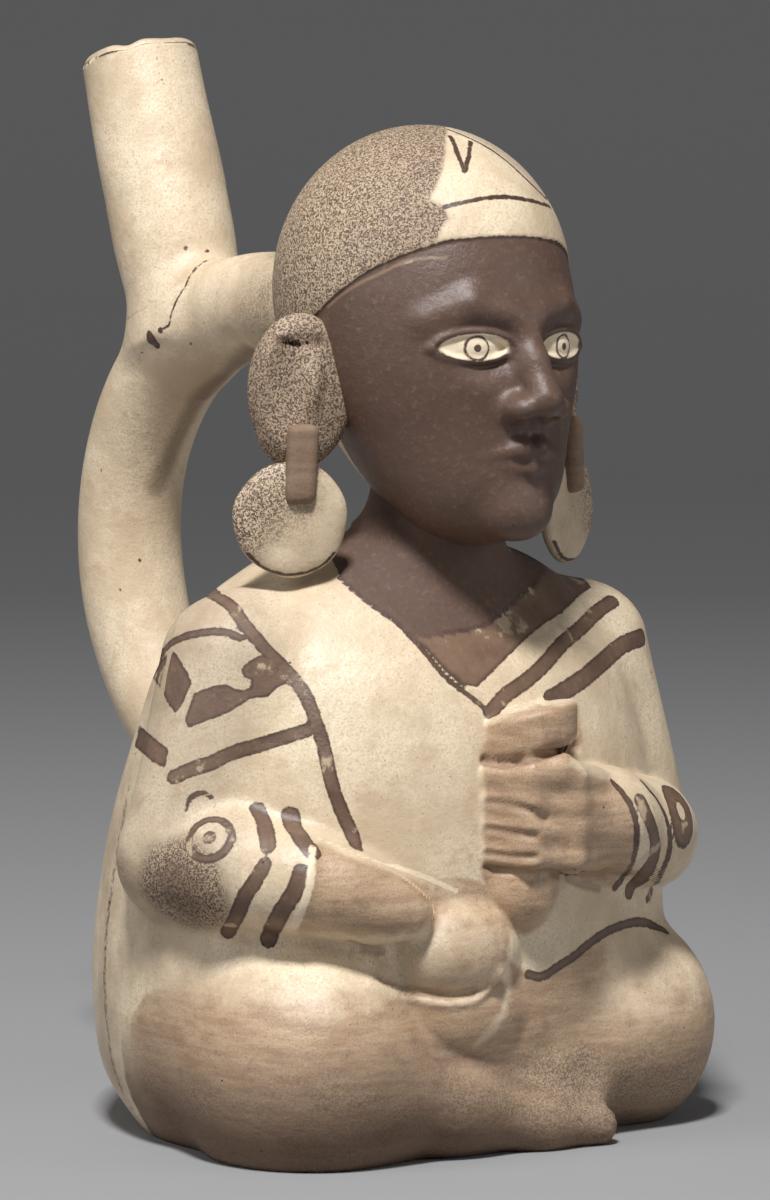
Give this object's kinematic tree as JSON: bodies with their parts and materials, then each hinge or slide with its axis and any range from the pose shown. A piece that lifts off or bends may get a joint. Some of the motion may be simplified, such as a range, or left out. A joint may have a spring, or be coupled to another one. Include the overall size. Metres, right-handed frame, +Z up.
{
  "type": "stirrup-spout effigy bottle",
  "caption": "Hollow fired-clay bottle shaped as a seated figure with ear discs, a stirrup handle and a leaning spout at its back.",
  "frame": {"origin": "middle of the flat underside, on the surface that the bottle stands on", "axes": "+Z up, the figure faces -Y, the stirrup and spout stand at its back towards +Y, the figure's right hand is at -X"},
  "size_m": [0.131, 0.1616, 0.224],
  "materials": {
    "fired_clay": "burnished slip, low gloss"
  },
  "bodies": {
    "root": {"effigy_bottle": "fired_clay"}
  },
  "joints": []
}
